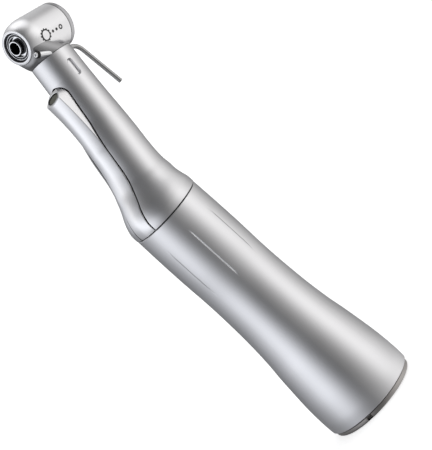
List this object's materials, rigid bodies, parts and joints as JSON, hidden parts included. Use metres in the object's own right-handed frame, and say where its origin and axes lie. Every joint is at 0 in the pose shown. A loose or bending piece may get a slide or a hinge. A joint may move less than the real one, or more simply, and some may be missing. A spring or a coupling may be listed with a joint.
{
  "type": "contra angle handpiece",
  "caption": "Bent reduction handpiece with push-button bur head, planetary and bevel gear train, glass light guide, spray nozzle and irrigation pipe.",
  "frame": {"origin": "centre of the rear face of the motor coupling, on the handle axis", "axes": "+Z along the handle towards the head, the bur points to -X (tilted up by the neck bend), the XZ plane is the plane of the bend"},
  "size_m": [0.0288, 0.0204, 0.0996],
  "materials": {
    "shell_steel": "fine bead-blasted satin",
    "cover_steel": "fine satin, slightly brighter than the shell",
    "ring_steel": "turned satin",
    "core_steel": "machined",
    "gear_steel": "hardened and ground",
    "bearing_steel": "polished",
    "tube_steel": "drawn tube",
    "bronze": "sintered",
    "seal_rubber": "matt",
    "guide_glass": "ground and polished ends"
  },
  "bodies": {
    "housing": {"handle_sheath": "shell_steel", "rear_ring": "ring_steel", "coupling_sleeve": "core_steel", "coupling_circlip": "core_steel", "gearbox_housing": "core_steel", "ring_gear_1": "gear_steel", "ring_gear_2": "gear_steel", "output_bush": "bronze", "seam_o_ring": "seal_rubber", "neck_core": "core_steel", "neck_bush": "bronze", "neck_sleeve": "shell_steel", "neck_cover": "cover_steel", "light_guide": "guide_glass", "head_housing": "shell_steel", "nose_ring": "core_steel", "back_cap": "ring_steel", "irrigation_pipe": "tube_steel", "spray_nozzle": "tube_steel", "button_spring": "core_steel", "input_bearing_outer": "bearing_steel", "neck_bearing_outer": "bearing_steel", "front_bearing_outer": "bearing_steel", "rear_bearing_outer": "bearing_steel"},
    "button": {"push_button": "ring_steel"},
    "input": {"input_shaft": "core_steel", "drive_dog": "core_steel", "sun_gear_1": "gear_steel", "input_bearing_inner": "bearing_steel"},
    "input_cage": {"input_bearing_balls": "bearing_steel"},
    "stage_1_carrier": {"carrier_1": "core_steel", "planet_pins_1": "core_steel", "sun_gear_2": "gear_steel"},
    "planet_1a": {"planet_gear_1a": "gear_steel"},
    "planet_1b": {"planet_gear_1b": "gear_steel"},
    "planet_1c": {"planet_gear_1c": "gear_steel"},
    "stage_2_carrier": {"carrier_2": "core_steel", "planet_pins_2": "core_steel", "crown_gear_rear": "gear_steel"},
    "planet_2a": {"planet_gear_2a": "gear_steel"},
    "planet_2b": {"planet_gear_2b": "gear_steel"},
    "planet_2c": {"planet_gear_2c": "gear_steel"},
    "neck_drive": {"neck_shaft": "core_steel", "crown_gear_front": "gear_steel", "shaft_bevel_gear": "gear_steel", "neck_bearing_inner": "bearing_steel"},
    "neck_cage": {"neck_bearing_balls": "bearing_steel"},
    "rotor": {"spindle": "core_steel", "spindle_bevel_gear": "gear_steel", "bur_collet": "core_steel", "front_bearing_inner": "bearing_steel", "rear_bearing_inner": "bearing_steel"},
    "front_cage": {"front_bearing_balls": "bearing_steel"},
    "rear_cage": {"rear_bearing_balls": "bearing_steel"}
  },
  "joints": [
    {"name": "input_spin", "type": "hinge", "parent": "housing", "child": "input", "pos_m": [0, 0, 0.03], "axis": [0, 0, 1], "continuous": true},
    {"name": "input_cage_spin", "type": "hinge", "parent": "housing", "child": "input_cage", "pos_m": [0, 0, 0.0324], "axis": [0, 0, 1], "continuous": true},
    {"name": "carrier_1_spin", "type": "hinge", "parent": "housing", "child": "stage_1_carrier", "pos_m": [0, 0, 0.0394], "axis": [0, 0, 1], "continuous": true},
    {"name": "planet_1a_spin", "type": "hinge", "parent": "stage_1_carrier", "child": "planet_1a", "pos_m": [0.003, 0, 0.04], "axis": [0, 0, 1], "continuous": true},
    {"name": "planet_1b_spin", "type": "hinge", "parent": "stage_1_carrier", "child": "planet_1b", "pos_m": [-0.0015, 0.0026, 0.04], "axis": [0, 0, 1], "continuous": true},
    {"name": "planet_1c_spin", "type": "hinge", "parent": "stage_1_carrier", "child": "planet_1c", "pos_m": [-0.0015, -0.0026, 0.04], "axis": [0, 0, 1], "continuous": true},
    {"name": "carrier_2_spin", "type": "hinge", "parent": "housing", "child": "stage_2_carrier", "pos_m": [0, 0, 0.045], "axis": [0, 0, 1], "continuous": true},
    {"name": "planet_2a_spin", "type": "hinge", "parent": "stage_2_carrier", "child": "planet_2a", "pos_m": [0.003, 0, 0.04], "axis": [0, 0, 1], "continuous": true},
    {"name": "planet_2b_spin", "type": "hinge", "parent": "stage_2_carrier", "child": "planet_2b", "pos_m": [-0.0015, 0.0026, 0.04], "axis": [0, 0, 1], "continuous": true},
    {"name": "planet_2c_spin", "type": "hinge", "parent": "stage_2_carrier", "child": "planet_2c", "pos_m": [-0.0015, -0.0026, 0.04], "axis": [0, 0, 1], "continuous": true},
    {"name": "neck_shaft_spin", "type": "hinge", "parent": "housing", "child": "neck_drive", "pos_m": [0.00501, 0, 0.07086], "axis": [0.2504, 0, 0.9681], "continuous": true},
    {"name": "neck_cage_spin", "type": "hinge", "parent": "housing", "child": "neck_cage", "pos_m": [0.00924, 0, 0.08722], "axis": [0.2504, 0, 0.9681], "continuous": true},
    {"name": "spindle_spin", "type": "hinge", "parent": "housing", "child": "rotor", "pos_m": [0.01109, 0, 0.09439], "axis": [-0.9681, 0, 0.2504], "continuous": true},
    {"name": "front_cage_spin", "type": "hinge", "parent": "housing", "child": "front_cage", "pos_m": [0.00722, 0, 0.09539], "axis": [-0.9681, 0, 0.2504], "continuous": true},
    {"name": "rear_cage_spin", "type": "hinge", "parent": "housing", "child": "rear_cage", "pos_m": [0.01448, 0, 0.09351], "axis": [-0.9681, 0, 0.2504], "continuous": true},
    {"name": "button_press", "type": "slide", "parent": "housing", "child": "button", "axis": [-0.9681, 0, 0.2504], "range_m": [0, 0.0006], "stiffness_N_per_m": 2000, "springref_m": -0.0006, "deforming": ["button_spring"]}
  ],
  "couplings": [
    {"joint": "input_cage_spin", "follows": "input_spin", "ratio": 0.402},
    {"joint": "carrier_1_spin", "follows": "input_spin", "ratio": 0.25},
    {"joint": "planet_1a_spin", "follows": "input_spin", "ratio": -0.75},
    {"joint": "planet_1b_spin", "follows": "input_spin", "ratio": -0.75},
    {"joint": "planet_1c_spin", "follows": "input_spin", "ratio": -0.75},
    {"joint": "carrier_2_spin", "follows": "input_spin", "ratio": 0.05},
    {"joint": "planet_2a_spin", "follows": "input_spin", "ratio": -0.13333},
    {"joint": "planet_2b_spin", "follows": "input_spin", "ratio": -0.13333},
    {"joint": "planet_2c_spin", "follows": "input_spin", "ratio": -0.13333},
    {"joint": "neck_shaft_spin", "follows": "input_spin", "ratio": 0.05},
    {"joint": "neck_cage_spin", "follows": "input_spin", "ratio": 0.01951},
    {"joint": "spindle_spin", "follows": "input_spin", "ratio": -0.05},
    {"joint": "front_cage_spin", "follows": "input_spin", "ratio": -0.02139},
    {"joint": "rear_cage_spin", "follows": "input_spin", "ratio": -0.02184}
  ]
}
